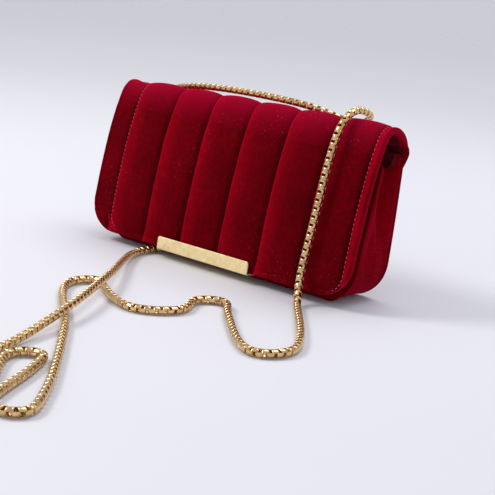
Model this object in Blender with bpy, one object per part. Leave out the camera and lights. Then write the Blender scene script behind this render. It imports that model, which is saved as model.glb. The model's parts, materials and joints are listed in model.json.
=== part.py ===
"""Velvet flap clutch: a soft box body, a channelled flap on a back hinge, a gold edge bar,
a magnetic snap and a box-chain strap on two spring clasps. Metres, +Z up, front is -Y.
The origin is the bottom centre of the bag without its strap."""
import math

import bmesh
import bpy
from mathutils import Matrix, Vector

MM = 0.001
GAP = 0.3 * MM

# Body
BODY_HALF = 115 * MM
CORNER = 25 * MM
FRONT_LINE = [(-12, 0), (-8.5, 30), (-4, 50), (1, 70), (6, 92)]
BACK_LINE = [(22, 0), (25.5, 30), (27.5, 60), (29, 98.4)]
GUSSET_TOP = 88 * MM
FOLD_DEPTH = 12 * MM
FOLD_START = 30 * MM

# Layers, from the outside in
VELVET = 1.2 * MM
BOARD = 1.2 * MM
LINING = 0.8 * MM
STACK = VELVET + GAP + BOARD + GAP + LINING
BASE_GAP = GAP + 0.4 * MM
BASE_TRIM = 2 * MM

# Flap
FLAP_HALF = 119.5 * MM
FLAP_CORNER = 24 * MM
FLAP_LINE = [(29.2, 99.2), (28, 105.5), (23.6, 112.8), (14.8, 118.4), (5.2, 118.9), (-1.8, 113.6),
             (-7.4, 102), (-12.3, 88), (-18, 66), (-22.9, 42), (-26.6, 20), (-28, 7.2)]
FOAM = 3.0 * MM
FLAP_STACK = VELVET + FOAM + BOARD + LINING + 3 * GAP
STIFF_START = 11 * MM

# Gold bar on the flap's lower edge
BAR_LEFT = -45.5 * MM
BAR_RIGHT = 39.5 * MM
BAR_HEIGHT = 8.4 * MM
BAR_BACK_HEIGHT = 6 * MM
BAR_METAL = 0.9 * MM

# Magnetic snap: radius and height pairs in mm, from the body outwards
SNAP_HEIGHT = 28 * MM
CUP_SECTION = [(3.3, 0), (7, 0), (7, 3.2), (6.4, 3.8), (3.3, 3.8)]
MAGNET_SECTION = [(0, 0), (3, 0), (3, 3), (0, 3)]
KEEPER_RADIUS = 7 * MM
KEEPER_PLATE = 1.2 * MM
KEEPER_SHOULDER = 1.6 * MM
KEEPER_STUD = 4.4 * MM
KEEPER_TIP = 4.2 * MM
SNAP_LEAN = math.radians(9.5)

# Strap ends
RING_RADIUS = 6.5 * MM
RING_WIRE = 0.9 * MM
HOOK_RADIUS = 4.5 * MM
HOOK_WIRE = 0.9 * MM
GATE_WIRE = 0.7 * MM
SHANK = 4.5 * MM
TAB_BORE = 1.45 * MM
TAB_HALF = 2.2 * MM
RING_Y = 18.8 * MM
RING_Z = 96.5 * MM
RING_X = {"left": -80 * MM, "right": 86 * MM}

# Chain strap: its route, from the left clasp to the right clasp
CHAIN_DIAMETER = 5.5 * MM
CHAIN_ROUTE = [
    (-116.5, 18.8, 96.5), (-134, 20, 97), (-129, 44, 103), (-70, 22, 118.8), (42, 20.5, 119.6),
    (70, 38, 111), (87, 27, 120), (89.5, 5, 124.5), (89.3, -9, 115), (88, -26, 50),
    (86.5, -31.8, 16), (95, -43, 2.8), (155, -125, 2.8), (143, -144, 2.8), (86, -100, 2.8),
    (67, -81, 2.8), (54, -93, 2.8), (65, -119, 2.8), (46, -141, 2.8), (6, -127, 2.8),
    (-12, -115, 2.8), (-19, -133, 2.8), (56, -204, 2.8), (126, -277, 2.8), (141, -301, 2.8),
    (125, -309, 2.8), (95, -258, 2.8), (82, -240, 2.8), (70, -252, 2.8), (103, -297, 2.8),
    (80, -314, 2.8), (59, -244, 2.8), (37, -182, 9.2), (3, -123, 9.6), (-55, -38, 2.8),
    (-53, -17, 3.2), (-39, -14.8, 14), (20, -1.6, 86), (32, 8, 99.5), (49, 18.8, 96.5)]
CHAIN_LEAD = 7.5 * MM
CHAIN_SOFTNESS = 13
CHAIN_STEP = 33 * MM
CHAIN_TURN = math.radians(60)

COLOURS = {
    "velvet": ((0.25, 0.0, 0.012), 0.85, 0.0),
    "lining": ((0.12, 0.02, 0.03), 0.7, 0.0),
    "board": ((0.35, 0.28, 0.2), 0.9, 0.0),
    "foam": ((0.8, 0.78, 0.7), 0.9, 0.0),
    "gold": ((0.83, 0.62, 0.28), 0.28, 1.0),
    "magnet": ((0.25, 0.25, 0.26), 0.4, 1.0),
}


def clear_scene():
    for item in list(bpy.data.objects):
        bpy.data.objects.remove(item, do_unlink=True)


def make_material(name):
    colour, roughness, metallic = COLOURS[name]
    material = bpy.data.materials.new(name)
    material.use_nodes = True
    shader = material.node_tree.nodes["Principled BSDF"]
    shader.inputs["Base Color"].default_value = (*colour, 1.0)
    shader.inputs["Roughness"].default_value = roughness
    shader.inputs["Metallic"].default_value = metallic
    return material


def add_object(name, data, material, origin=Vector((0, 0, 0))):
    item = bpy.data.objects.new(name, data)
    bpy.context.collection.objects.link(item)
    item.location = origin
    data.materials.append(MATERIALS[material])
    return item


def add_mesh(name, points, faces, material, origin=Vector((0, 0, 0)), smooth=False):
    mesh = bpy.data.meshes.new(name)
    mesh.from_pydata([Vector(p) - origin for p in points], [], faces)
    work = bmesh.new()
    work.from_mesh(mesh)
    bmesh.ops.recalc_face_normals(work, faces=work.faces)
    work.to_mesh(mesh)
    work.free()
    if smooth:
        mesh.shade_smooth()
        mesh.set_sharp_from_angle(angle=math.radians(40))
    return add_object(name, mesh, material, origin)


def centripetal(route, steps):
    """Points on a smooth curve through the route, a few between each pair."""
    points = [Vector(p) for p in route]
    points = [2 * points[0] - points[1]] + points + [2 * points[-1] - points[-2]]
    curve = []
    for a, b, c, d in zip(points, points[1:], points[2:], points[3:]):
        times = [0.0]
        for near, far in ((a, b), (b, c), (c, d)):
            times.append(times[-1] + math.sqrt((far - near).length))
        for step in range(steps):
            t = times[1] + (times[2] - times[1]) * step / steps
            ab = a.lerp(b, t / times[1])
            bc = b.lerp(c, (t - times[1]) / (times[2] - times[1]))
            cd = c.lerp(d, (t - times[2]) / (times[3] - times[2]))
            first = ab.lerp(bc, t / times[2])
            second = bc.lerp(cd, (t - times[1]) / (times[3] - times[1]))
            curve.append(first.lerp(second, (t - times[1]) / (times[2] - times[1])))
    curve.append(points[-2])
    return curve


def resample(curve, distance_of):
    """Even steps along a curve, where distance_of gives each short piece's weight."""
    totals = [0.0]
    for index in range(1, len(curve)):
        totals.append(totals[-1] + distance_of(curve, index))
    count = max(2, round(totals[-1]) + 1)
    result = []
    piece = 1
    for index in range(count):
        target = totals[-1] * index / (count - 1)
        while piece < len(curve) - 1 and totals[piece] < target:
            piece += 1
        share = (target - totals[piece - 1]) / (totals[piece] - totals[piece - 1])
        result.append(curve[piece - 1].lerp(curve[piece], min(1, max(0, share))))
    return result


def profile(points):
    """A smooth side line through (y, z) points in millimetres."""
    return centripetal([(0, y * MM, z * MM) for y, z in points], 8)


def line_y(points, height):
    """The y of a side line at a height."""
    curve = profile(points)
    for low, high in zip(curve, curve[1:]):
        if low.z <= height <= high.z:
            return low.lerp(high, (height - low.z) / (high.z - low.z)).y
    return curve[-1].y


def rounded_half(width, corner):
    """Half width of a sheet with rounded lower corners, by distance from its lower edge."""
    def half(distance):
        if distance >= corner:
            return width
        drop = corner - distance
        return width - corner + math.sqrt(max(0, corner * corner - drop * drop))
    return half


def rows_of(line, start, end, corner):
    """Rows along a side line: position, inward normal and distance from the lower end."""
    lengths = [0.0]
    for near, far in zip(line, line[1:]):
        lengths.append(lengths[-1] + (far - near).length)
    total = lengths[-1]
    stops = [start + (total - corner - start) * i / 22 for i in range(22)]
    stops += [total - corner * (1 - math.sin(math.radians(a))) for a in range(0, 90, 15)]
    stops += [total - end]
    rows = []
    for stop in stops:
        if stop > total - end + 1e-9:
            continue
        index = max(i for i, value in enumerate(lengths[:-1]) if value <= stop + 1e-12)
        share = (stop - lengths[index]) / (lengths[index + 1] - lengths[index])
        before = line[max(index - 1, 0)]
        after = line[min(index + 2, len(line) - 1)]
        tangent = (after - before).normalized()
        rows.append((line[index].lerp(line[index + 1], share), tangent, total - stop))
    return rows


def sheet(name, line, near, far, half, material, side, start=0.0, end=0.0, corner=CORNER):
    """A layer of even thickness that follows a side line and is straight across.
    side is +1 or -1 and turns the line's tangent to its inward normal."""
    rows = rows_of(line, start, end, corner)
    columns = 5
    points = []
    for depth in (near, far):
        for spot, tangent, distance in rows:
            inward = Vector((0, -tangent.z, tangent.y)) * side
            place = spot + inward * depth
            wide = half(distance)
            for column in range(columns):
                points.append((-wide + 2 * wide * column / (columns - 1), place.y, place.z))
    return add_mesh(name, points, slab_faces(len(rows), columns), material)


def slab_faces(rows, columns):
    """Faces of a closed slab made of two grids of rows by columns."""
    faces = []
    offset = rows * columns
    for row in range(rows - 1):
        for column in range(columns - 1):
            a = row * columns + column
            b = a + 1
            c = a + columns
            d = c + 1
            faces.append((a, b, d, c))
            faces.append((offset + a, offset + c, offset + d, offset + b))
    rim = [column for column in range(columns)]
    rim += [row * columns + columns - 1 for row in range(1, rows)]
    rim += [(rows - 1) * columns + column for column in range(columns - 2, -1, -1)]
    rim += [row * columns for row in range(rows - 2, 0, -1)]
    for a, b in zip(rim, rim[1:] + rim[:1]):
        faces.append((a, offset + a, offset + b, b))
    return faces


def prism(name, outline, plane, low, high, material, origin=Vector((0, 0, 0))):
    """A flat outline pushed along X (plane "yz") or along Z (plane "xy")."""
    points = []
    for depth in (low, high):
        for a, b in outline:
            points.append((depth, a, b) if plane == "yz" else (a, b, depth))
    count = len(outline)
    faces = [tuple(range(count)), tuple(range(2 * count - 1, count - 1, -1))]
    for index in range(count):
        after = (index + 1) % count
        faces.append((index, count + index, count + after, after))
    return add_mesh(name, points, faces, material, origin)


def lathe(name, outline, place, axis, material, sides=24):
    """A turned solid: a closed outline of (radius, height) round an axis."""
    turn = Vector((0, 0, 1)).rotation_difference(axis).to_matrix()
    points = []
    for side in range(sides):
        angle = 2 * math.pi * side / sides
        for radius, height in outline:
            local = Vector((radius * math.cos(angle), radius * math.sin(angle), height))
            points.append(place + turn @ local)
    count = len(outline)
    faces = []
    for side in range(sides):
        for index in range(count):
            after = (index + 1) % count
            other = (side + 1) % sides
            faces.append((side * count + index, side * count + after,
                          other * count + after, other * count + index))
    item = add_mesh(name, points, faces, material, smooth=True)
    work = bmesh.new()
    work.from_mesh(item.data)
    bmesh.ops.remove_doubles(work, verts=work.verts, dist=1e-6)
    bmesh.ops.recalc_face_normals(work, faces=work.faces)
    work.to_mesh(item.data)
    work.free()
    return item


def tube(name, points, diameter, material, resolution=2, origin=Vector((0, 0, 0))):
    """A round rod or cord along a list of points, with closed ends."""
    curve = bpy.data.curves.new(name, "CURVE")
    curve.dimensions = "3D"
    curve.bevel_depth = diameter / 2
    curve.bevel_resolution = resolution
    curve.use_fill_caps = True
    spline = curve.splines.new("POLY")
    spline.points.add(len(points) - 1)
    for spot, point in zip(spline.points, points):
        spot.co = (*(Vector(point) - origin), 1)
    return add_object(name, curve, material, origin)


def body_side(name, line_points, side):
    """Velvet, board and lining of the front or the back, with rounded lower corners."""
    line = list(reversed(profile(line_points)))
    near = 0.0
    for layer, thick, trim in (("panel", VELVET, 0), ("board", BOARD, 2), ("lining", LINING, 2)):
        half = rounded_half(BODY_HALF - trim * MM, CORNER)
        lift = 0 if layer == "panel" else 4.4 * MM
        top = 0 if layer != "board" else 3 * MM
        kind = "velvet" if layer == "panel" else layer
        sheet(f"{name}_{layer}", line, near, near + thick, half, kind, side, start=top, end=lift)
        near += thick + GAP


def gusset_path(side):
    """The end strip's path: it starts under the bag and turns up round the lower corner."""
    path = []
    for step in range(7):
        angle = math.radians(90 * step / 6)
        path.append((BODY_HALF - CORNER + CORNER * math.sin(angle),
                     CORNER - CORNER * math.cos(angle), math.sin(angle), -math.cos(angle)))
    for step in range(1, 8):
        path.append((BODY_HALF, CORNER + (GUSSET_TOP - CORNER) * step / 7, 1.0, 0.0))
    return [(side * x, z, side * nx, nz) for x, z, nx, nz in path]


def gusset_layer(name, side, near, far, material):
    """One layer of an end: a strip between front and back with an inward fold above."""
    rows = gusset_path(side)
    points = []
    for depth in (near, far):
        for x, z, nx, nz in rows:
            front = line_y(FRONT_LINE, z) + STACK + GAP + 0.2 * MM
            back = line_y(BACK_LINE, z) - STACK - GAP - 0.2 * MM
            rise = max(0.0, z - FOLD_START) / (GUSSET_TOP - FOLD_START)
            for share, tuck in ((0, 0), (0.25, 0.5), (0.5, 1), (0.75, 0.5), (1, 0)):
                inset = depth + FOLD_DEPTH * tuck * rise
                points.append((x - nx * inset, front + (back - front) * share, z - nz * depth))
    add_mesh(name, points, slab_faces(len(rows), 5), material)


def base_layer(name, low, high, material, trim, front_gap):
    front = line_y(FRONT_LINE, low) + STACK + front_gap
    back = line_y(BACK_LINE, low) - STACK - BASE_GAP
    reach = BODY_HALF - CORNER - GAP - trim
    outline = [(front, low), (back, low), (back, high), (front, high)]
    prism(name, outline, "yz", -reach, reach, material)


def build_body():
    body_side("front", FRONT_LINE, 1)
    body_side("back", BACK_LINE, -1)
    base_layer("base_panel", 0, VELVET, "velvet", 0, GAP + 0.2 * MM)
    base_layer("base_board", VELVET + GAP, VELVET + GAP + BOARD, "board", BASE_TRIM, BASE_GAP)
    top = STACK - LINING
    base_layer("base_lining", top, top + LINING, "lining", BASE_TRIM, BASE_GAP)
    for side, name in ((-1, "left"), (1, "right")):
        gusset_layer(f"{name}_gusset", side, 0, VELVET, "velvet")
        gusset_layer(f"{name}_gusset_lining", side, VELVET + GAP, VELVET + GAP + LINING, "lining")


def build_pocket():
    """A flat slip pocket on the back lining."""
    line = list(reversed(profile(BACK_LINE)))
    near = STACK + GAP
    sheet("slip_pocket", line, near, near + LINING, lambda distance: 62 * MM, "lining", -1,
          start=32 * MM, end=14 * MM)


def build_flap():
    """Velvet over foam, board and lining. Only the velvet reaches the hinge."""
    line = profile(FLAP_LINE)
    layers = (("flap_cover", VELVET, 0.0, "velvet", 0.0), ("flap_foam", FOAM, STIFF_START, "foam", 1.0),
              ("flap_board", BOARD, STIFF_START, "board", 1.0),
              ("flap_lining", LINING, STIFF_START, "lining", 0.4))
    near = 0.0
    for name, thick, start, material, trim in layers:
        half = rounded_half(FLAP_HALF - trim * MM, FLAP_CORNER)
        sheet(name, line, near, near + thick, half, material, 1, start=start, end=0.0,
              corner=FLAP_CORNER)
        near += thick + GAP


def build_bar():
    """A bent gold channel that grips the flap's lower edge."""
    line = profile(FLAP_LINE)
    down = (line[-1] - line[-4]).normalized()
    inward = Vector((0, -down.z, down.y))
    edge = line[-1] + down * GAP

    def spot(depth, rise):
        place = edge + inward * depth - down * rise
        return (place.y, place.z)

    outer = -GAP - BAR_METAL
    inner = FLAP_STACK + GAP
    outline = [spot(outer, BAR_HEIGHT), spot(-GAP, BAR_HEIGHT), spot(-GAP, 0), spot(inner, 0),
               spot(inner, BAR_BACK_HEIGHT), spot(inner + BAR_METAL, BAR_BACK_HEIGHT),
               spot(inner + BAR_METAL, -BAR_METAL), spot(outer, -BAR_METAL)]
    prism("edge_bar", outline, "yz", BAR_LEFT, BAR_RIGHT, "gold")


def build_snap():
    """Magnet cup on the body and keeper on the flap, face to face when closed."""
    out = Vector((0, -math.cos(SNAP_LEAN), math.sin(SNAP_LEAN)))
    foot = Vector((0, line_y(FRONT_LINE, SNAP_HEIGHT), SNAP_HEIGHT)) + out * 0.5 * MM
    lathe("snap_cup", [(r * MM, h * MM) for r, h in CUP_SECTION], foot, out, "gold")
    lathe("snap_magnet", [(r * MM, h * MM) for r, h in MAGNET_SECTION], foot, out, "magnet")
    line = profile(FLAP_LINE)
    inner = min(line, key=lambda p: abs(p.z - SNAP_HEIGHT - 2 * MM))
    reach = (inner - foot).dot(out) - FLAP_STACK - 0.6 * MM
    keeper = [(0, reach), (KEEPER_RADIUS, reach), (KEEPER_RADIUS, reach - KEEPER_PLATE),
              (KEEPER_STUD, reach - KEEPER_SHOULDER), (KEEPER_STUD, KEEPER_TIP), (0, KEEPER_TIP)]
    lathe("snap_keeper", keeper, foot, out, "gold")


def build_strap_end(name):
    """Sewn tab, ring, spring clasp with its gate, and the swivel that takes the chain."""
    pivot = Vector((RING_X[name], RING_Y, RING_Z))
    lining = line_y(BACK_LINE, RING_Z) - STACK - GAP
    inner = TAB_BORE
    outer = inner + LINING
    arc = [(math.cos(math.radians(a)), math.sin(math.radians(a))) for a in range(180, 361, 30)]
    outline = [(pivot.x + outer * c, pivot.y + outer * s) for c, s in arc]
    outline += [(pivot.x + outer, lining), (pivot.x + inner, lining)]
    outline += [(pivot.x + inner * c, pivot.y + inner * s) for c, s in reversed(arc)]
    outline += [(pivot.x - inner, lining), (pivot.x - outer, lining)]
    prism(f"{name}_ring_tab", outline, "xy", RING_Z - TAB_HALF, RING_Z + TAB_HALF, "velvet")

    ring_centre = pivot - Vector((RING_RADIUS, 0, 0))
    add_ring(f"{name}_ring", ring_centre, pivot)

    far = pivot.x - 2 * RING_RADIUS
    centre = Vector((far - (HOOK_RADIUS - HOOK_WIRE - RING_WIRE - GAP), RING_Y, RING_Z))
    turns = [math.radians(a) for a in range(180, -81, -20)]
    hook = [centre - Vector((HOOK_RADIUS + SHANK, 0, 0))]
    hook += [centre + HOOK_RADIUS * Vector((math.cos(a), math.sin(a), 0)) for a in turns]
    tube(f"{name}_clasp", hook, 2 * HOOK_WIRE, "gold", origin=pivot)

    hinge = centre + Vector((-4.1, -1.95, 0)) * MM
    tip = centre + Vector((-0.55, -4.25, 0)) * MM
    tube(f"{name}_clasp_gate", [hinge, tip], 2 * GATE_WIRE, "gold", origin=hinge)

    near = centre.x - HOOK_RADIUS - SHANK - GAP
    barrel = [(0, 0), (1.8, 0), (2.4, 0.6), (2.4, 3.1), (1.8, 3.7), (0, 3.7)]
    lathe(f"{name}_swivel", [(r * MM, h * MM) for r, h in barrel], Vector((near, RING_Y, RING_Z)),
          Vector((-1, 0, 0)), "gold", sides=16)


def add_ring(name, centre, pivot):
    """A round wire ring that stands in the XZ plane, with its origin on its pivot."""
    mesh = bpy.data.meshes.new(name)
    work = bmesh.new()
    wire = bmesh.ops.create_circle(work, segments=8, radius=RING_WIRE,
                                   matrix=Matrix.Translation((RING_RADIUS, 0, 0)))
    edges = list({edge for vert in wire["verts"] for edge in vert.link_edges})
    bmesh.ops.spin(work, geom=wire["verts"] + edges, cent=(0, 0, 0), axis=(0, 1, 0),
                   steps=24, angle=2 * math.pi, use_merge=True)
    bmesh.ops.remove_doubles(work, verts=work.verts, dist=1e-6)
    bmesh.ops.recalc_face_normals(work, faces=work.faces)
    bmesh.ops.translate(work, verts=work.verts, vec=centre - pivot)
    work.to_mesh(mesh)
    work.free()
    mesh.shade_smooth()
    return add_object(name, mesh, "gold", pivot)


def relaxed(curve, rounds):
    """Even 2 mm steps along a curve, averaged with their neighbours so that no bend is sharp."""
    points = resample(curve, lambda route, index: (route[index] - route[index - 1]).length / (2 * MM))
    for _ in range(rounds):
        inner = [(a + 2 * b + c) / 4 for a, b, c in zip(points, points[1:], points[2:])]
        points = [points[0]] + inner + [points[-1]]
    lowest = CHAIN_DIAMETER / 2 + 0.02 * MM
    return [Vector((p.x, p.y, max(p.z, lowest))) for p in points]


def build_chain():
    lead = Vector((CHAIN_LEAD, 0, 0))
    route = [Vector(p) * MM for p in CHAIN_ROUTE]
    curve = relaxed(centripetal(route, 24), CHAIN_SOFTNESS)
    curve = [curve[0] + lead] + curve + [curve[-1] + lead]

    def weight(points, index):
        step = points[index] - points[index - 1]
        before = points[index - 1] - points[max(index - 2, 0)]
        turn = step.angle(before) if before.length > 0 else 0.0
        return step.length / CHAIN_STEP + turn / CHAIN_TURN

    tube("chain_strap", resample(curve, weight), CHAIN_DIAMETER, "gold")


def build():
    build_body()
    build_pocket()
    build_flap()
    build_bar()
    build_snap()
    for name in ("left", "right"):
        build_strap_end(name)
    build_chain()


clear_scene()
MATERIALS = {name: make_material(name) for name in COLOURS}
build()
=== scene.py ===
"""Looks of the velvet flap clutch: channelled velvet flap, soft folded body, satin lining,
hammered gold edge bar and a round box chain. Metres, +Z up, the front faces -Y."""
import math

import bmesh
import bpy
import numpy as np
from mathutils import Matrix, Vector, noise
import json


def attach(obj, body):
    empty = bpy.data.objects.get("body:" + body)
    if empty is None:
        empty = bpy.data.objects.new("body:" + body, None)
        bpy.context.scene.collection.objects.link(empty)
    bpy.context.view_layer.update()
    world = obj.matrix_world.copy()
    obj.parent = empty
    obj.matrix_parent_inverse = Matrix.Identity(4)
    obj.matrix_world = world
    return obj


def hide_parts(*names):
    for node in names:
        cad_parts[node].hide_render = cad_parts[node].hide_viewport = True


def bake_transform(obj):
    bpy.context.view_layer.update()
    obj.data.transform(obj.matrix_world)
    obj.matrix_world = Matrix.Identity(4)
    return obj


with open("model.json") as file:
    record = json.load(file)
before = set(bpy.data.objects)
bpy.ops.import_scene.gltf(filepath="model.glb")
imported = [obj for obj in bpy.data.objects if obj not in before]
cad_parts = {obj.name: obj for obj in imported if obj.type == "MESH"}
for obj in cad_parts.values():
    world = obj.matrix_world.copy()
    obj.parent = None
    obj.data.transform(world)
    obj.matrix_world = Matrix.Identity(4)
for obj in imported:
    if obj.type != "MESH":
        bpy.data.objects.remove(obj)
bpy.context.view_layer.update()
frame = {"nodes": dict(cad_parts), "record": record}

MM = 0.001

# Side lines of the part, (y, z) in millimetres
FRONT_LINE = [(-12, 0), (-8.5, 30), (-4, 50), (1, 70), (6, 92)]
BACK_LINE = [(22, 0), (25.5, 30), (27.5, 60), (29, 98.4)]
FLAP_LINE = [(29.2, 99.2), (28, 105.5), (23.6, 112.8), (14.8, 118.4), (5.2, 118.9), (-1.8, 113.6),
             (-7.4, 102), (-12.3, 88), (-18, 66), (-22.9, 42), (-26.6, 20), (-28, 7.2)]
FLAP_SEAM_LINE = [(29.5, 90), (29.7, 95)]

# Body
BODY_HALF = 115.0
BODY_CORNER = 25.0
FRONT_TOP = 92.0
GUSSET_TOP = 88.0
BACK_TOP = 98.4
FOLD_DEPTH = 12.0
FOLD_START = 30.0
PANEL_DEPTH = 3.5
GUSSET_DEPTH = 1.3
LINING_START = 3.9
LINING_THICK = 0.6
BASE_ROUND = 3.0
FOLD_CREASE = 0.56
FOLD_FLAT = 0.13
FRONT_SWELL = 0.8
BACK_SWELL = 1.2
END_CREASE = 1.1
INNER_PUFF = 0.4
LINING_END_GAP = 0.4
WELT_RADIUS = 0.75
SIDE_STEPS = 60
END_STEPS = 30
BASE_BANDS = 8
CORNER_ROWS = 12
UPPER_ROWS = 44

# Flap
FLAP_HALF = 119.5
FLAP_CORNER = 24.0
FLAP_DEPTH = 6.15
FLAP_SKIN = 1.2
LINING_GAP = 0.2
FLAP_LINING_THICK = 0.65
EDGE_ROUND = 3.0
STIFF_START = 11.0
SEAM_STEP = 35.5
FIRST_SEAM = -98.9
SEAMS = [FIRST_SEAM + SEAM_STEP * index for index in range(7)]
BOTTOM_SEAM = 4.5
SEWN_CORNER = 9.0
SEAM_DEPTH = 2.3
SEAM_SLOW = 4.6
SEAM_FAST = 1.2
CROWN = 1.3
SEWN_DEPTH = 1.0
BACK_STRIP_TAPER = 0.028
STITCH_PITCH = 3.1
STITCH_LENGTH = 1.7
STITCH_SIDES = 6

# Gold bar
BAR_LEFT = -45.5
BAR_RIGHT = 39.5
BAR_HEIGHT = 8.4
BAR_BACK = 6.0
BAR_METAL = 0.9
BAR_GAP = 0.3
BAR_CORNER = 1.7
BAR_ROUND = 1.2
BAR_LIP = 0.35
DENT_DEPTH = 0.16
DENT_SIZE = 2.6
FLAP_STACK = 7.1

# Chain
CHAIN_DIAMETER = 5.5
CHAIN_ROUTE = [
    (-116.5, 18.8, 96.5), (-134, 20, 97), (-129, 44, 103), (-70, 22, 118.8), (42, 20.5, 119.6),
    (70, 38, 111), (87, 27, 120), (89.5, 5, 124.5), (89.3, -9, 115), (88, -26, 50),
    (86.5, -31.8, 16), (95, -43, 2.8), (155, -125, 2.8), (143, -144, 2.8), (86, -100, 2.8),
    (67, -81, 2.8), (54, -93, 2.8), (65, -119, 2.8), (46, -141, 2.8), (6, -127, 2.8),
    (-12, -115, 2.8), (-19, -133, 2.8), (56, -204, 2.8), (126, -277, 2.8), (141, -301, 2.8),
    (125, -309, 2.8), (95, -258, 2.8), (82, -240, 2.8), (70, -252, 2.8), (103, -297, 2.8),
    (80, -314, 2.8), (59, -244, 2.8), (37, -182, 9.2), (3, -123, 9.6), (-55, -38, 2.8),
    (-53, -17, 3.2), (-39, -14.8, 14), (20, -1.6, 86), (32, 8, 99.5), (49, 18.8, 96.5)]
CHAIN_LEAD = 7.5
CHAIN_SOFTNESS = 13
LINK_PITCH = 2.75
LINK_HALF = 2.5
LINK_METAL = 0.8
LINK_BREADTH = 3.6
LINK_BEND = 1.05
LINK_SINK = 0.05
LINK_EDGE = LINK_METAL + 0.12
CHAIN_END_GAP = 1.2
CHAIN_ROLL = math.radians(45)
CHAIN_FACE = (0.66, -0.66, 0.36)

# Camera
CAMERA_PLACE = (0.53494, -0.63621, 0.2065)
CAMERA_RIGHT = (0.7569, 0.6468, 0.0933)
CAMERA_UP = (-0.2159, 0.1127, 0.9699)
CAMERA_LENS = 87.27


# ---------------------------------------------------------------- helpers

def smooth_curve(route, steps):
    """Points on a centripetal curve through the route."""
    points = [np.array(p, float) for p in route]
    points = [2 * points[0] - points[1]] + points + [2 * points[-1] - points[-2]]
    curve = []
    for a, b, c, d in zip(points, points[1:], points[2:], points[3:]):
        t = [0.0]
        for near, far in ((a, b), (b, c), (c, d)):
            t.append(t[-1] + math.sqrt(np.linalg.norm(far - near)))
        for step in range(steps):
            u = t[1] + (t[2] - t[1]) * step / steps
            ab = a + (b - a) * u / t[1]
            bc = b + (c - b) * (u - t[1]) / (t[2] - t[1])
            cd = c + (d - c) * (u - t[2]) / (t[3] - t[2])
            first = ab + (bc - ab) * u / t[2]
            second = bc + (cd - bc) * (u - t[1]) / (t[3] - t[1])
            curve.append(first + (second - first) * (u - t[1]) / (t[2] - t[1]))
    curve.append(points[-2])
    return np.array(curve)


def even_steps(curve, step):
    """The curve cut into even steps of about that length, with the distances along it."""
    pieces = np.linalg.norm(np.diff(curve, axis=0), axis=1)
    along = np.concatenate([[0.0], np.cumsum(pieces)])
    count = max(2, round(along[-1] / step) + 1)
    spots = np.linspace(0, along[-1], count)
    places = np.stack([np.interp(spots, along, curve[:, k]) for k in range(curve.shape[1])], 1)
    return places, spots


def grid_faces(rows, columns, offset=0, wrap=False):
    faces = []
    last = columns if wrap else columns - 1
    for row in range(rows - 1):
        for column in range(last):
            a = offset + row * columns + column
            b = offset + row * columns + (column + 1) % columns
            faces.append((a, b, b + columns, a + columns))
    return faces


def make_piece(name, points, faces, material, smooth=True, sharp=60):
    """A mesh object from millimetre points, with its faces turned outward."""
    mesh = bpy.data.meshes.new(name)
    mesh.from_pydata((np.asarray(points, float) * MM).tolist(), [], faces)
    work = bmesh.new()
    work.from_mesh(mesh)
    bmesh.ops.remove_doubles(work, verts=work.verts, dist=1e-6)
    bmesh.ops.recalc_face_normals(work, faces=work.faces)
    work.to_mesh(mesh)
    work.free()
    if smooth:
        mesh.shade_smooth()
        mesh.set_sharp_from_angle(angle=math.radians(sharp))
    piece = bpy.data.objects.new(name, mesh)
    bpy.context.scene.collection.objects.link(piece)
    mesh.materials.append(material)
    return piece


def ripple(x, y, z, size, seed=0):
    """Smooth noise for arrays of places, from about -1 to 1, with features of a size."""
    flat = np.broadcast_arrays(x, y, z)
    values = [noise.noise(Vector((a / size + seed * 17.3, b / size, c / size)))
              for a, b, c in zip(flat[0].ravel(), flat[1].ravel(), flat[2].ravel())]
    return np.array(values).reshape(flat[0].shape)


# ---------------------------------------------------------------- materials

class Nodes:
    """Short calls that build a material's node tree."""

    def __init__(self, name):
        self.material = bpy.data.materials.new(name)
        self.material.use_nodes = True
        self.tree = self.material.node_tree
        self.shader = self.tree.nodes["Principled BSDF"]
        self.place = self.tree.nodes.new("ShaderNodeTexCoord").outputs["Object"]

    def link(self, a, b):
        self.tree.links.new(a, b)

    def noise(self, scale, detail=3.0, rough=0.5, stretch=None):
        node = self.tree.nodes.new("ShaderNodeTexNoise")
        node.inputs["Scale"].default_value = scale
        node.inputs["Detail"].default_value = detail
        node.inputs["Roughness"].default_value = rough
        if stretch:
            mapping = self.tree.nodes.new("ShaderNodeMapping")
            mapping.inputs["Scale"].default_value = stretch
            self.link(self.place, mapping.inputs["Vector"])
            self.link(mapping.outputs["Vector"], node.inputs["Vector"])
        else:
            self.link(self.place, node.inputs["Vector"])
        return node.outputs["Fac"]

    def ramp(self, value, stops):
        node = self.tree.nodes.new("ShaderNodeValToRGB")
        while len(node.color_ramp.elements) < len(stops):
            node.color_ramp.elements.new(0.5)
        for element, (spot, colour) in zip(node.color_ramp.elements, stops):
            element.position = spot
            element.color = (*colour, 1.0)
        self.link(value, node.inputs["Fac"])
        return node.outputs["Color"]

    def mix(self, share, a, b, mode="MIX"):
        node = self.tree.nodes.new("ShaderNodeMix")
        node.data_type = "RGBA"
        node.blend_type = mode
        for name, value in (("Factor", share), ("A", a), ("B", b)):
            socket = [s for s in node.inputs if s.name == name and s.enabled][0]
            if hasattr(value, "is_linked"):
                self.link(value, socket)
            else:
                socket.default_value = value if name == "Factor" else (*value, 1.0)
        return [s for s in node.outputs if s.enabled][0]

    def bump(self, height, distance, strength=1.0, under=None):
        node = self.tree.nodes.new("ShaderNodeBump")
        node.inputs["Distance"].default_value = distance
        node.inputs["Strength"].default_value = strength
        self.link(height, node.inputs["Height"])
        if under is not None:
            self.link(under, node.inputs["Normal"])
        return node.outputs["Normal"]

    def set(self, **values):
        for name, value in values.items():
            socket = self.shader.inputs[name.replace("_", " ")]
            if hasattr(value, "is_linked"):
                self.link(value, socket)
            else:
                socket.default_value = value


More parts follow.
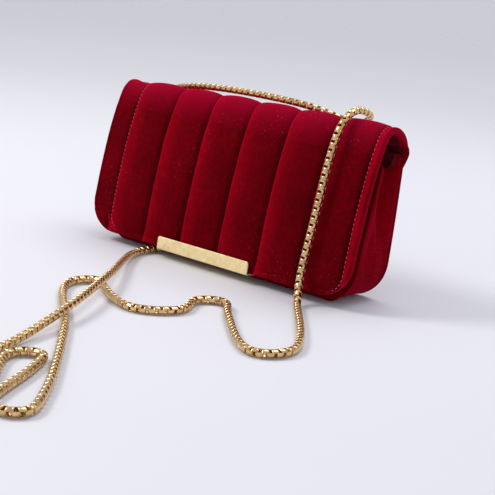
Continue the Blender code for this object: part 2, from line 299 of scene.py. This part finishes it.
def velvet_material(name, paint_channel_light):
    """Crushed red velvet. On the flap, light and shade are painted into the colour: a painted highlight
    just right of each seam, painted shade deepening toward the next seam, and a painted highlight on the
    ridge and lip.
    """
    nodes = Nodes(name)
    brushed = nodes.noise(38, 3, 0.5)
    mottle = nodes.noise(330, 4, 0.62)
    nap = nodes.ramp(mottle, [(0.25, (0.165, 0.0, 0.0038)), (0.5, (0.205, 0.0, 0.0048)),
                              (0.78, (0.265, 0.0003, 0.008))])
    lay = nodes.ramp(brushed, [(0.3, (0.8, 0.8, 0.8)), (0.7, (1.12, 1.12, 1.12))])
    pile = nodes.noise(2600, 2, 0.6)
    fibres = nodes.ramp(pile, [(0.35, (0.72, 0.72, 0.72)), (0.65, (1.28, 1.28, 1.28))])
    colour = nodes.mix(1.0, nodes.mix(1.0, nap, lay, "MULTIPLY"), fibres, "MULTIPLY")
    if paint_channel_light:
        # Painted light and shade across each channel: a painted highlight just right of each seam,
        # painted shade deepening toward the next seam.
        axes = nodes.tree.nodes.new("ShaderNodeSeparateXYZ")
        nodes.link(nodes.place, axes.inputs[0])
        step = nodes.tree.nodes.new("ShaderNodeMath")
        step.operation = "MULTIPLY_ADD"
        nodes.link(axes.outputs["X"], step.inputs[0])
        step.inputs[1].default_value = 1 / (SEAM_STEP * MM)
        step.inputs[2].default_value = 4 - FIRST_SEAM / SEAM_STEP
        part = nodes.tree.nodes.new("ShaderNodeMath")
        part.operation = "FRACT"
        nodes.link(step.outputs[0], part.inputs[0])
        painted_seam_light_and_shade = nodes.ramp(part.outputs[0], [
            (0.0, (1.55,) * 3), (0.035, (1.6,) * 3), (0.12, (1.1,) * 3), (0.45, (0.68,) * 3),
            (0.86, (0.6,) * 3), (0.965, (0.34,) * 3), (0.99, (0.28,) * 3), (1.0, (1.2,) * 3)])
        colour = nodes.mix(1.0, colour, painted_seam_light_and_shade, "MULTIPLY")
        # Painted highlight on the top ridge and the lower lip, mixed in by the point attribute.
        ridge = nodes.tree.nodes.new("ShaderNodeAttribute")
        ridge.attribute_name = "ridge"
        colour = nodes.mix(ridge.outputs["Fac"], colour, (0.42, 0.002, 0.030))
    dust = nodes.ramp(nodes.noise(900, 1, 0.4), [(0.72, (0, 0, 0)), (0.745, (1, 1, 1))])
    patches = nodes.ramp(nodes.noise(22, 2, 0.5), [(0.5, (0, 0, 0)), (0.7, (0.6, 0.6, 0.6))])
    specks = nodes.mix(1.0, dust, patches, "MULTIPLY")
    nodes.set(Base_Color=nodes.mix(specks, colour, (0.5, 0.09, 0.12)))
    under = nodes.bump(mottle, 0.0002, 0.45)
    nodes.set(Normal=nodes.bump(pile, 0.0003, 0.75, under))
    nodes.set(Roughness=0.95, Sheen_Weight=0.85, Sheen_Roughness=0.27,
              Sheen_Tint=(1.0, 0.008, 0.085, 1.0), Specular_IOR_Level=0.02)
    return nodes.material


def satin_material():
    nodes = Nodes("lining")
    weave = nodes.tree.nodes.new("ShaderNodeTexWave")
    weave.inputs["Scale"].default_value = 900
    nodes.link(nodes.place, weave.inputs["Vector"])
    folds = nodes.noise(35, 3, 0.5)
    nodes.set(Base_Color=nodes.ramp(folds, [(0.3, (0.085, 0.001, 0.006)), (0.7, (0.125, 0.002, 0.009))]))
    nodes.set(Roughness=0.5, Sheen_Weight=0.25, Sheen_Roughness=0.4,
              Sheen_Tint=(0.6, 0.02, 0.08, 1.0), Specular_IOR_Level=0.15)
    nodes.set(Normal=nodes.bump(weave.outputs["Fac"], 0.00008, 0.5, nodes.bump(folds, 0.0005, 0.4)))
    return nodes.material


def gold_material(name, light, dark, rough, hammered, metallic=1.0):
    nodes = Nodes(name)
    wear = nodes.noise(220, 4, 0.6)
    nodes.set(Base_Color=nodes.ramp(wear, [(0.3, dark), (0.7, light)]))
    grain = nodes.noise(700, 3, 0.6, (1, 3, 3))
    scuffs = nodes.ramp(grain, [(0.3, (rough * 0.75,) * 3), (0.7, (rough * 1.35,) * 3)])
    nodes.set(Metallic=metallic, Roughness=scuffs)
    normal = nodes.bump(grain, 0.00004, 0.5)
    if hammered:
        normal = nodes.bump(nodes.noise(300, 2, 0.5), 0.0009, hammered, normal)
    nodes.set(Normal=normal)
    return nodes.material


def board_material():
    nodes = Nodes("board")
    fibre = nodes.noise(500, 4, 0.6, (1, 1, 4))
    nodes.set(Base_Color=nodes.ramp(fibre, [(0.3, (0.30, 0.24, 0.17)), (0.7, (0.45, 0.37, 0.27))]))
    nodes.set(Roughness=0.9, Normal=nodes.bump(fibre, 0.0001, 0.5))
    return nodes.material


def foam_material():
    nodes = Nodes("foam")
    cells = nodes.noise(1200, 3, 0.6)
    nodes.set(Base_Color=nodes.ramp(cells, [(0.3, (0.6, 0.58, 0.5)), (0.7, (0.8, 0.78, 0.7))]))
    nodes.set(Roughness=0.95, Normal=nodes.bump(cells, 0.0003, 0.6))
    return nodes.material


def magnet_material():
    nodes = Nodes("magnet")
    grain = nodes.noise(900, 3, 0.6)
    nodes.set(Base_Color=nodes.ramp(grain, [(0.3, (0.03, 0.03, 0.032)), (0.7, (0.07, 0.07, 0.075))]))
    nodes.set(Metallic=0.6, Roughness=0.5, Normal=nodes.bump(grain, 0.00005, 0.5))
    return nodes.material


def thread_material():
    nodes = Nodes("thread")
    twist = nodes.noise(1800, 2, 0.5)
    nodes.set(Base_Color=nodes.ramp(twist, [(0.3, (0.32, 0.03, 0.05)), (0.7, (0.62, 0.16, 0.2))]))
    nodes.set(Roughness=0.6, Normal=nodes.bump(twist, 0.00005, 0.6))
    return nodes.material


def floor_material():
    """Pale matt floor that brightens far away, so that it meets the surroundings evenly."""
    nodes = Nodes("floor")
    mottle = nodes.noise(3, 3, 0.5)
    near = nodes.ramp(mottle, [(0.3, (0.72, 0.72, 0.765)), (0.7, (0.755, 0.755, 0.79))])
    reach = nodes.tree.nodes.new("ShaderNodeVectorMath")
    reach.operation = "LENGTH"
    nodes.link(nodes.place, reach.inputs[0])
    far = nodes.ramp(reach.outputs["Value"], [(0.04, (0, 0, 0)), (0.25, (1, 1, 1))])
    nodes.set(Base_Color=nodes.mix(far, near, (0.99, 0.99, 1.0)))
    nodes.set(Roughness=0.75, Specular_IOR_Level=0.2)
    return nodes.material


VELVET = velvet_material("velvet", False)
# The flap's velvet carries painted highlights and painted shade in its colour.
FLAP_VELVET = velvet_material("flap_velvet", True)
SATIN = satin_material()
GOLD = gold_material("gold", (0.93, 0.79, 0.50), (0.84, 0.68, 0.40), 0.26, 0.0)
BAR_GOLD = gold_material("bar_gold", (1.0, 0.88, 0.5), (0.94, 0.7, 0.31), 0.34, 1.0, 0.35)
CHAIN_GOLD = gold_material("chain_gold", (0.90, 0.68, 0.38), (0.55, 0.33, 0.13), 0.2, 0.0)
THREAD = thread_material()


# ---------------------------------------------------------------- camera and light

def add_camera():
    right = Vector(CAMERA_RIGHT).normalized()
    back = right.cross(Vector(CAMERA_UP)).normalized()
    up = back.cross(right)
    lens = bpy.data.cameras.new("camera")
    lens.lens = CAMERA_LENS
    lens.sensor_width = 36.0
    lens.clip_start = 0.01
    camera = bpy.data.objects.new("camera", lens)
    turn = Matrix((right, up, back)).transposed()
    camera.matrix_world = Matrix.Translation(CAMERA_PLACE) @ turn.to_4x4()
    bpy.context.scene.collection.objects.link(camera)
    bpy.context.scene.camera = camera


def add_area(name, place, aim, size, power, colour):
    data = bpy.data.lights.new(name, "AREA")
    data.shape = "DISK"
    data.size = size
    data.energy = power
    data.color = colour
    light = bpy.data.objects.new(name, data)
    light.location = place
    light.rotation_euler = (Vector(aim) - Vector(place)).to_track_quat("-Z", "Y").to_euler()
    bpy.context.scene.collection.objects.link(light)


def add_studio():
    world = bpy.data.worlds.new("studio")
    world.use_nodes = True
    background = world.node_tree.nodes["Background"]
    background.inputs["Color"].default_value = (0.80, 0.81, 0.87, 1.0)
    background.inputs["Strength"].default_value = 0.75
    bpy.context.scene.world = world
    centre = (0.0, 0.0, 0.05)
    add_area("key", (-0.75, -0.65, 1.05), centre, 0.5, 9.0, (1.0, 0.97, 0.95))
    add_area("top", (0.1, 0.45, 1.2), centre, 0.9, 6.0, (0.96, 0.97, 1.0))
    bpy.ops.mesh.primitive_plane_add(size=1, location=(0, 0, -0.0002))
    floor = bpy.context.active_object
    floor.name = "floor"
    floor.scale = (8, 8, 1)
    floor.data.materials.append(floor_material())
    bpy.context.scene.view_settings.view_transform = "Standard"


# ---------------------------------------------------------------- chain

def chain_path():
    """The strap's centre line, the same curve as the part's."""
    route, _ = even_steps(smooth_curve(CHAIN_ROUTE, 24), 2.0)
    for _ in range(CHAIN_SOFTNESS):
        inner = (route[:-2] + 2 * route[1:-1] + route[2:]) / 4
        route = np.vstack([route[:1], inner, route[-1:]])
    route[:, 2] = np.maximum(route[:, 2], CHAIN_DIAMETER / 2 + 0.02)
    lead = np.array([CHAIN_LEAD, 0, 0])
    return np.vstack([route[:1] + lead, route, route[-1:] + lead])


def link_shape():
    """One chain link: a strip bent into a box, its sides rounded to the chain's outside.
    Columns are along, across and breadth."""
    long = LINK_PITCH / 2 + LINK_METAL
    wide = LINK_HALF
    middle = []
    for corner, (sx, sy) in enumerate(((1, 1), (-1, 1), (-1, -1), (1, -1))):
        for step in range(4):
            angle = math.radians(90 * corner + 90 * step / 3)
            middle.append((sx * (long - LINK_BEND) + LINK_BEND * math.cos(angle),
                           sy * (wide - LINK_BEND) + LINK_BEND * math.sin(angle),
                           math.cos(angle), math.sin(angle)))
    half = LINK_BREADTH / 2
    outer = [-1.0, -0.6, -0.2, 0.2, 0.6, 1.0]
    points = []
    for along, across, nx, ny in middle:
        section = []
        for share in outer:
            drop = wide - math.sqrt(wide * wide - (share * half) ** 2)
            section.append((LINK_SINK + drop * ny * ny, share * half))
        section += [(LINK_EDGE, half * 0.9), (LINK_METAL, 0.0), (LINK_EDGE, -half * 0.9)]
        for depth, breadth in section:
            points.append((along - nx * min(depth, LINK_EDGE), across - ny * depth, breadth))
    faces = []
    count = len(outer) + 3
    for index in range(len(middle)):
        after = (index + 1) % len(middle)
        for side in range(count):
            other = (side + 1) % count
            faces.append((index * count + side, after * count + side,
                          after * count + other, index * count + other))
    return np.array(points), faces


def build_chain():
    """Links along the path, every second one a quarter turn round from the last."""
    path = chain_path()
    places, spots = even_steps(path, 0.5)
    total = spots[-1]
    tangents = np.gradient(places, axis=0)
    tangents /= np.linalg.norm(tangents, axis=1)[:, None]
    sides = np.cross(tangents, CHAIN_FACE)
    sides /= np.linalg.norm(sides, axis=1)[:, None]
    shape, shape_faces = link_shape()
    count = int((total - 2 * CHAIN_END_GAP) / LINK_PITCH)
    start = (total - (count - 1) * LINK_PITCH) / 2
    points = []
    faces = []
    for index in range(count):
        spot = start + index * LINK_PITCH
        place = np.array([np.interp(spot, spots, places[:, k]) for k in range(3)])
        near = min(len(spots) - 1, int(round(spot / (total / (len(spots) - 1)))))
        tangent = tangents[near]
        breadth = np.cross(tangent, sides[near])
        across = sides[near] * math.cos(CHAIN_ROLL) + breadth * math.sin(CHAIN_ROLL)
        breadth = np.cross(tangent, across)
        if index % 2:
            across, breadth = breadth, -across
        base = len(points)
        faces.extend([tuple(base + corner for corner in face) for face in shape_faces])
        points.extend(place + shape[:, :1] * tangent + shape[:, 1:2] * across
                      + shape[:, 2:] * breadth)
    chain = make_piece("box_chain", points, faces, CHAIN_GOLD, sharp=50)
    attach(chain, "root")
    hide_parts("chain_strap")


# ---------------------------------------------------------------- flap

class SideLine:
    """A side line with its distance along, place and outward normal."""

    def __init__(self, points):
        places, self.along = even_steps(smooth_curve([(0, y, z) for y, z in points], 12), 0.5)
        self.y = places[:, 1]
        self.z = places[:, 2]
        slope_y = np.gradient(self.y)
        slope_z = np.gradient(self.z)
        size = np.hypot(slope_y, slope_z)
        self.ny = slope_z / size
        self.nz = -slope_y / size
        self.length = self.along[-1]

    def at(self, distance, depth):
        """y and z at a distance along the line and a depth below it."""
        y, z, ny, nz = (np.interp(distance, self.along, v) for v in (self.y, self.z, self.ny, self.nz))
        return y - ny * depth, z - nz * depth


FLAP = SideLine(FLAP_SEAM_LINE + FLAP_LINE)
HINGE_AT = float(FLAP.along[np.argmin(np.hypot(FLAP.y - 29.2, FLAP.z - 99.2))])


def flap_columns():
    """Columns across the flap: closer at the seams and round the lower corners."""
    flat = FLAP_HALF - FLAP_CORNER
    columns = set(np.round(np.arange(-flat, flat + 0.1, 1.7), 3))
    for angle in range(0, 91, 6):
        reach = flat + FLAP_CORNER * math.sin(math.radians(angle))
        columns.update((round(reach, 3), round(-reach, 3)))
    for edge in (-FLAP_HALF, FLAP_HALF):
        for inset in (0.15, 0.5, 1.0, 1.6, 2.3, 3.0):
            columns.add(round(edge - math.copysign(inset, edge), 3))
    for seam in SEAMS:
        for step in (-2.6, -1.6, -0.9, -0.45, -0.15, 0.15, 0.45, 0.9, 1.6, 2.6):
            columns.add(round(seam + step, 3))
    ordered = sorted(columns)
    kept = [ordered[0]]
    for value in ordered[1:]:
        if value - kept[-1] > 0.12:
            kept.append(value)
    return np.array(kept)


def flap_rows(x):
    """Row ends for each column: the lower corners are round."""
    over = np.clip(np.abs(x) - (FLAP_HALF - FLAP_CORNER), 0, FLAP_CORNER)
    return FLAP.length - (FLAP_CORNER - np.sqrt(np.maximum(FLAP_CORNER ** 2 - over ** 2, 0)))


def edge_distance(x, s):
    """Distance in from the flap's outline."""
    side = FLAP_HALF - np.abs(x)
    low = FLAP.length - s
    plain = np.minimum(side, low)
    corner = (side < FLAP_CORNER) & (low < FLAP_CORNER)
    rounded = FLAP_CORNER - np.hypot(FLAP_CORNER - side, FLAP_CORNER - low)
    return np.where(corner, rounded, plain)


def seam_notch(offset):
    """A sewn valley that falls slowly on its left side and rises fast on its right side."""
    width = np.where(offset < 0, SEAM_SLOW, SEAM_FAST)
    return np.exp(-np.abs(offset) / width)


def stitch_distance(x, s):
    """Distance out from the sewn line that runs round the flap's ends and lower edge."""
    left = SEAMS[0] - x
    right = x - SEAMS[6]
    low = s - (FLAP.length - BOTTOM_SEAM)
    side = np.maximum(left, right)
    round_part = (side > -SEWN_CORNER) & (low > -SEWN_CORNER)
    out_side = np.maximum(side + SEWN_CORNER, 0)
    out_low = np.maximum(low + SEWN_CORNER, 0)
    rounded = np.hypot(out_side, out_low) - SEWN_CORNER
    return np.where(round_part, rounded, np.minimum(np.maximum(side, low), 0))


def flap_relief(x, s):
    """Height of the padded velvet over the side line."""
    relief = np.full(np.broadcast(x, s).shape, -0.2)
    sewn_distance = stitch_distance(x, s)
    channel = (x - SEAMS[0]) / SEAM_STEP
    share = channel - np.floor(channel)
    crown = np.where((x > SEAMS[0]) & (x < SEAMS[6]), -CROWN * np.abs(2 * share - 1) ** 2.2, -1.2)
    relief = relief + crown
    pucker = ripple(x * 0, s, np.round(channel) * 40.0, 5.5, 3)
    low_end = np.clip((FLAP.length - BOTTOM_SEAM - s) / 3.0, 0, 1)
    for seam in SEAMS[1:6]:
        notch = seam_notch(x - seam)
        relief = relief - SEAM_DEPTH * notch * low_end * (1 + 0.12 * pucker)
    sewn = np.exp(-(sewn_distance / 1.1) ** 2)
    relief = relief - SEWN_DEPTH * sewn * (1 + 0.25 * ripple(x, s, x * 0, 3.0, 5))
    lip = np.clip(sewn_distance / 2.0, 0, 1)
    relief = relief + np.where(x < SEAMS[0] - 4, 0.9, 0.2) * lip
    relief = relief + 0.3 * ripple(x, s, x * 0, 26.0, 1) + 0.16 * ripple(x, s, x * 0, 8.0, 2)
    calm = np.clip((s - HINGE_AT - 1.0) / 12.0, 0, 1)
    return relief * calm


def flap_thickness(s):
    """Depth of the padded part: thin at the hinge, where only the velvet bends."""
    full = np.clip((s - HINGE_AT - 2.0) / (STIFF_START - 2.0), 0, 1)
    return FLAP_SKIN + (FLAP_DEPTH - FLAP_SKIN) * full * full * (3 - 2 * full)


def flap_sheet(name, material, outer, inner, start, inset):
    """A closed sheet that follows the flap: outer and inner are functions of x and s."""
    x = flap_columns() * (FLAP_HALF - inset) / FLAP_HALF
    ends = flap_rows(x) - inset
    count = 120
    share = np.linspace(0, 1, count)
    tail = 1 - (1 - share) ** 1.35
    s = start + tail[:, None] * (ends[None, :] - start)
    x = np.broadcast_to(x[None, :], s.shape)
    narrow = 1 - BACK_STRIP_TAPER * np.clip((HINGE_AT - s) / 9.0, 0, 1)
    points = []
    for depth in (outer(x, s), inner(x, s)):
        y, z = FLAP.at(s, depth)
        points.append(np.stack([x * narrow, y, z], -1).reshape(-1, 3))
    rows, columns = s.shape
    faces = grid_faces(rows, columns) + grid_faces(rows, columns, rows * columns)
    rim = [(0, c) for c in range(columns)] + [(r, columns - 1) for r in range(1, rows)]
    rim += [(rows - 1, c) for c in range(columns - 2, -1, -1)]
    rim += [(r, 0) for r in range(rows - 2, 0, -1)]
    rim = [r * columns + c for r, c in rim]
    for a, b in zip(rim, rim[1:] + rim[:1]):
        faces.append((a, b, b + rows * columns, a + rows * columns))
    return make_piece(name, np.vstack(points), faces, material, sharp=75)


def flap_outer(x, s):
    """Depth of the velvet's face below the side line, with a wide round at its outline."""
    distance = np.maximum(edge_distance(x, s), 0)
    roll = np.clip(EDGE_ROUND - distance, 0, EDGE_ROUND)
    drop = EDGE_ROUND - np.sqrt(np.maximum(EDGE_ROUND ** 2 - roll ** 2, 0))
    depth = np.minimum(drop, flap_thickness(s) * 0.6)
    return depth - flap_relief(x, s) * np.clip(distance / 3.0, 0, 1)


def flap_inner(x, s):
    """The back of the padded part, with a small round at its outline."""
    distance = np.maximum(edge_distance(x, s), 0)
    return flap_thickness(s) - 0.35 * np.clip(1 - distance / 0.5, 0, 1) ** 2


def paint_highlight_marks(cover):
    """Painted highlight on the ridge and along the lip outside the sewn line, kept as a point attribute.
    """
    x, y, z = (np.array([v.co for v in cover.data.vertices]) / MM).T
    s = np.array([FLAP.along[np.argmin(np.hypot(FLAP.y - a, FLAP.z - b))] for a, b in zip(y, z)])
    # Painted highlight growing toward the top ridge, and a painted highlight along the lip outside the
    # lower sewn line.
    light = 0.55 * np.clip((z - 98) / 21, 0, 1)
    lip = 0.6 * np.exp(-((stitch_distance(x, s) - 1.5) / 0.8) ** 2)
    lip = lip * np.clip((s - FLAP.length + 40) / 30, 0, 1)
    mark = cover.data.attributes.new("ridge", "FLOAT", "POINT")
    mark.data.foreach_set("value", np.maximum(light, lip).astype(np.float32))


def lining_face(x, s):
    return flap_thickness(s) + LINING_GAP


def lining_back(x, s):
    loose = 0.1 * ripple(x, s, x * 0, 14.0, 9)
    return flap_thickness(s) + LINING_GAP + FLAP_LINING_THICK + loose


def build_flap():
    cover = flap_sheet("flap_velvet", FLAP_VELVET, flap_outer, flap_inner, 0.0, 0.0)
    lining = flap_sheet("flap_satin", SATIN, lining_face, lining_back, 1.0, 3.2)
    paint_highlight_marks(cover)
    for piece, nodes in ((cover, ("flap_cover", "flap_foam")), (lining, ("flap_lining",))):
        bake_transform(piece)
        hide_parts(*nodes)


def build_stitches():
    """Short thread stitches along the sewn line of the flap's ends."""
    spots = []
    top = HINGE_AT + 16
    low = FLAP.length - BOTTOM_SEAM
    corner = SEWN_CORNER
    for edge, side in ((SEAMS[0], -1), (SEAMS[6], 1)):
        run = [(edge, s) for s in np.arange(top, low - corner, 0.5)]
        run += [(edge - side * corner * (1 - math.cos(a)), low - corner + corner * math.sin(a))
                for a in np.linspace(0, math.pi / 2, 24)]
        line, along = even_steps(np.array(run), 0.4)
        for distance in np.arange(1.0, along[-1] - 2, STITCH_PITCH):
            stitch = (distance, distance + STITCH_LENGTH)
            spots.append([[np.interp(d, along, line[:, k]) for k in (0, 1)] for d in stitch])
    points = []
    faces = []
    sides = STITCH_SIDES
    profile = [(0.0, 0.06), (0.25, 0.2), (0.5, 0.24), (0.75, 0.2), (1.0, 0.06)]
    for (x0, s0), (x1, s1) in spots:
        ends = []
        for x, s in ((x0, s0), (x1, s1)):
            depth = flap_outer(np.array([x]), np.array([s]))[0]
            y, z = FLAP.at(np.array([s]), np.array([depth - 0.1]))
            ends.append(np.array([x, y[0], z[0]]))
        way = ends[1] - ends[0]
        way = way / np.linalg.norm(way)
        across = np.cross(way, (0.3, 0.9, 0.2))
        across /= np.linalg.norm(across)
        other = np.cross(way, across)
        base = len(points)
        for share, radius in profile:
            middle = ends[0] + (ends[1] - ends[0]) * share
            for side in range(sides):
                angle = 2 * math.pi * side / sides
                points.append(middle + radius * (math.cos(angle) * across + math.sin(angle) * other))
        faces += grid_faces(len(profile), sides, base, wrap=True)
        faces.append(tuple(base + side for side in reversed(range(sides))))
        faces.append(tuple(base + (len(profile) - 1) * sides + side for side in range(sides)))
    thread = make_piece("flap_stitches", points, faces, THREAD)
    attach(thread, "flap")


# ---------------------------------------------------------------- gold bar

def build_bar():
    """The channel on the flap's lower edge, with round corners and a lightly hammered face."""
    end = np.array([FLAP.y[-1], FLAP.z[-1]])
    down = end - np.array([FLAP.y[-5], FLAP.z[-5]])
    down /= np.linalg.norm(down)
    inward = np.array([-down[1], down[0]])
    if inward[0] < 0:
        inward = -inward
    edge = end + down * BAR_GAP
    front = -BAR_GAP - BAR_METAL
    back = FLAP_STACK + BAR_GAP
    corner = BAR_CORNER
    columns = np.concatenate([np.linspace(BAR_LEFT, BAR_LEFT + corner, 9),
                              np.arange(BAR_LEFT + corner + 0.7, BAR_RIGHT - corner - 0.3, 0.8),
                              np.linspace(BAR_RIGHT - corner, BAR_RIGHT, 9)])
    points = []
    for x in columns:
        near = min(x - BAR_LEFT, BAR_RIGHT - x)
        cut = corner - math.sqrt(max(corner ** 2 - max(corner - near, 0) ** 2, 0))
        thin = 0.28 * max(0.0, 1 - near / 0.6) ** 2
        ring = []
        top = BAR_HEIGHT - cut
        for share in np.linspace(0, 1, 12):
            rise = top - BAR_LIP + (-BAR_METAL + BAR_ROUND - top + BAR_LIP) * share
            dent = 0
            if 0 < share < 1:
                dent = DENT_DEPTH * noise.noise(Vector((x / DENT_SIZE, rise / DENT_SIZE, 4.0)))
            ring.append((front + thin + dent * min(1, near / 1.5), rise))
        for angle in range(15, 91, 15):
            a = math.radians(angle)
            ring.append((front + BAR_ROUND * (1 - math.cos(a)) + thin,
                         -BAR_METAL + BAR_ROUND * (1 - math.sin(a))))
        for angle in range(0, 91, 15):
            a = math.radians(angle)
            ring.append((back + BAR_METAL - BAR_ROUND + BAR_ROUND * math.sin(a),
                         -BAR_METAL + BAR_ROUND * (1 - math.cos(a))))
        ring += [(back + BAR_METAL, BAR_BACK - 0.3), (back + BAR_METAL - 0.3, BAR_BACK),
                 (back, BAR_BACK), (back, 0.5), (back - 0.4, 0.0), (-BAR_GAP + 0.3, 0.0),
                 (-BAR_GAP, 0.5), (-BAR_GAP, top - 0.2), (-BAR_GAP - 0.2, top),
                 (front + 0.3, top), (front + 0.08, top - 0.12)]
        for depth, rise in ring:
            place = edge + inward * depth - down * rise
            points.append((x, place[0], place[1]))
    count = len(ring)
    faces = grid_faces(len(columns), count, wrap=True)
    faces.append(tuple(range(count)))
    faces.append(tuple(range((len(columns) - 1) * count, len(columns) * count)))
    bar = make_piece("hammered_bar", points, faces, BAR_GOLD, sharp=50)
    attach(bar, "flap")
    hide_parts("edge_bar")


# ---------------------------------------------------------------- body

def side_lookup(points):
    """A function from height to y along a side line."""
    curve = smooth_curve([(0, y, z) for y, z in points], 12)
    order = np.argsort(curve[:, 2])
    return lambda z: np.interp(z, curve[order, 2], curve[order, 1])


FRONT_AT = side_lookup(FRONT_LINE)
BACK_AT = side_lookup(BACK_LINE)


def body_loop():
    """The way round the body: a side name and a share along that side for each column."""
    loop = []
    for side, steps in (("front", SIDE_STEPS), ("right", END_STEPS),
                        ("back", SIDE_STEPS), ("left", END_STEPS)):
        loop += [(side, share) for share in np.linspace(0, 1, steps + 1)[:-1]]
    return loop


def fold_shape(share):
    """The end's inward fold from front to back: a soft V with its crease behind the middle."""
    to_back = (share - FOLD_FLAT) / (FOLD_CREASE - FOLD_FLAT)
    to_front = (1 - FOLD_FLAT - share) / (1 - FOLD_FLAT - FOLD_CREASE)
    return np.clip(np.where(share < FOLD_CREASE, to_back, to_front), 0, 1) ** 1.1


def column_top(side, share):
    """Height of the body's upper edge: the ends are lower than the panels between them."""
    if side == "front":
        return FRONT_TOP
    if side == "back":
        return BACK_TOP
    near_front = (share < 0.5) == (side == "right")
    panel_top = FRONT_TOP if near_front else BACK_TOP - 4
    return GUSSET_TOP + (panel_top - GUSSET_TOP) * abs(2 * share - 1) ** 6


def body_point(side, share, height_share, panel_inset, end_inset, puff):
    """A place on the body's loft. height_share runs 0 to 1 round the lower corner and 1 to 2 up."""
    turn = math.radians(90 * min(height_share, 1))
    z = BODY_CORNER * (1 - math.cos(turn))
    wide = BODY_HALF - BODY_CORNER + BODY_CORNER * math.sin(turn)
    if height_share > 1:
        z += (column_top(side, share) - BODY_CORNER) * (height_share - 1)
    round_off = 0.0
    if z < BASE_ROUND:
        round_off = BASE_ROUND - math.sqrt(max(BASE_ROUND ** 2 - (BASE_ROUND - z) ** 2, 0))
    outer_front = float(FRONT_AT(z)) + round_off
    outer_back = float(BACK_AT(z)) - round_off
    depth = outer_back - outer_front
    front = outer_front + panel_inset
    back = outer_back - panel_inset
    wide -= end_inset * min(1.0, 2 * height_share)
    rise = min(1, max(0.0, z - FOLD_START) / (GUSSET_TOP - FOLD_START))
    fold = FOLD_DEPTH * rise ** 0.8
    if height_share < 1:
        z += panel_inset * math.cos(turn)
    calm = math.sin(math.pi * share) ** 0.5 * min(1, z / 20)
    if side == "front":
        wide -= fold * float(fold_shape((front - outer_front) / depth))
        return (-wide + 2 * wide * share, front - puff * FRONT_SWELL * calm, z)
    if side == "back":
        wide -= fold * float(fold_shape((back - outer_front) / depth))
        swell = puff * BACK_SWELL * calm * min(1, (BACK_TOP - z) / 15)
        return (wide - 2 * wide * share, back + swell, z)
    sign = 1 if side == "right" else -1
    y = front + (back - front) * (share if side == "right" else 1 - share)
    across = (y - outer_front) / depth
    tuck = fold * float(fold_shape(across))
    low = sign * max(0.0, 1 - abs(z - 42) / 30)
    crease = puff * END_CREASE * low * math.sin(3 * math.pi * (across + z / 120.0))
    return (sign * (wide - tuck) + crease * math.sin(math.pi * across), y, z)


def body_grid(panel_inset, end_inset, puff):
    """Rows of places from the base to the upper edge, each once round the body."""
    heights = [index / CORNER_ROWS for index in range(CORNER_ROWS)]
    heights += [1 + index / UPPER_ROWS for index in range(UPPER_ROWS + 1)]
    return [[body_point(side, share, height, panel_inset, end_inset, puff)
             for side, share in body_loop()] for height in heights]


def add_base(points, faces, offset):
    """The flat bottom between the lowest front and back columns of a loft."""
    first_back = offset + SIDE_STEPS + END_STEPS
    front = [offset + index for index in range(SIDE_STEPS + 1)]
    back = [first_back + index for index in range(SIDE_STEPS, -1, -1)]
    lines = [front]
    for band in range(1, BASE_BANDS):
        line = []
        for a, b in zip(front, back):
            start, end = np.array(points[a]), np.array(points[b])
            line.append(len(points))
            points.append(tuple(start + (end - start) * band / BASE_BANDS))
        lines.append(line)
    lines.append(back)
    for near, far in zip(lines, lines[1:]):
        for index in range(SIDE_STEPS):
            faces.append((near[index], near[index + 1], far[index + 1], far[index]))


def shell(name, material, outer, inner):
    """A closed body shell: outer and inner lofts, their flat bottoms and the rim between them."""
    rows = len(outer)
    columns = len(outer[0])
    points = []
    faces = []
    tops = []
    for loft in (outer, inner):
        offset = len(points)
        tops.append(offset + (rows - 1) * columns)
        points += [p for row in loft for p in row]
        faces += grid_faces(rows, columns, offset, wrap=True)
        add_base(points, faces, offset)
    for index in range(columns):
        after = (index + 1) % columns
        faces.append((tops[0] + index, tops[0] + after, tops[1] + after, tops[1] + index))
    return make_piece(name, points, faces, material, sharp=75)


def build_body():
    outer = body_grid(0.0, 0.0, 1.0)
    inner = body_grid(PANEL_DEPTH, GUSSET_DEPTH, INNER_PUFF)
    velvet = shell("body_velvet", VELVET, outer, inner)
    panel = LINING_START
    end = GUSSET_DEPTH + LINING_END_GAP
    satin = shell("body_satin", SATIN, body_grid(panel, end, INNER_PUFF),
                  body_grid(panel + LINING_THICK, end + LINING_THICK, INNER_PUFF))
    for piece in (velvet, satin):
        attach(piece, "root")
    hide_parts("front_panel", "back_panel", "base_panel", "left_gusset", "right_gusset")
    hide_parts("front_lining", "back_lining", "base_lining", "left_gusset_lining",
                "right_gusset_lining")
    welt_columns = {"front_left": 0, "front_right": SIDE_STEPS, "back_right": SIDE_STEPS + END_STEPS,
                    "back_left": 2 * SIDE_STEPS + END_STEPS}
    for name, column in welt_columns.items():
        build_welt(f"{name}_welt", [row[column] for row in outer])


def build_welt(name, line):
    """The turned seam between a panel and an end, as a thin velvet ridge."""
    curve = bpy.data.curves.new(name, "CURVE")
    curve.dimensions = "3D"
    curve.bevel_depth = WELT_RADIUS * MM
    curve.bevel_resolution = 3
    curve.use_fill_caps = True
    spline = curve.splines.new("POLY")
    places, _ = even_steps(np.array(line), 1.5)
    places[:, 2] = np.maximum(places[:, 2], WELT_RADIUS + 0.05)
    spline.points.add(len(places) - 1)
    for spot, place in zip(spline.points, places):
        spot.co = (*(Vector(place) * MM), 1)
    piece = bpy.data.objects.new(name, curve)
    bpy.context.scene.collection.objects.link(piece)
    curve.materials.append(VELVET)
    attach(piece, "root")


def finish_nodes():
    """Better materials for the CAD nodes that stay."""
    kinds = {"velvet": VELVET, "lining": SATIN, "gold": GOLD, "board": board_material(),
             "foam": foam_material(), "magnet": magnet_material(), "chain_gold": CHAIN_GOLD}
    for part in frame["record"]["subparts"]:
        item = frame["nodes"][part["node"]]
        item.data.materials.clear()
        item.data.materials.append(kinds[part["material_slot"]])


add_camera()
add_studio()
finish_nodes()
build_chain()
build_flap()
build_stitches()
build_bar()
build_body()
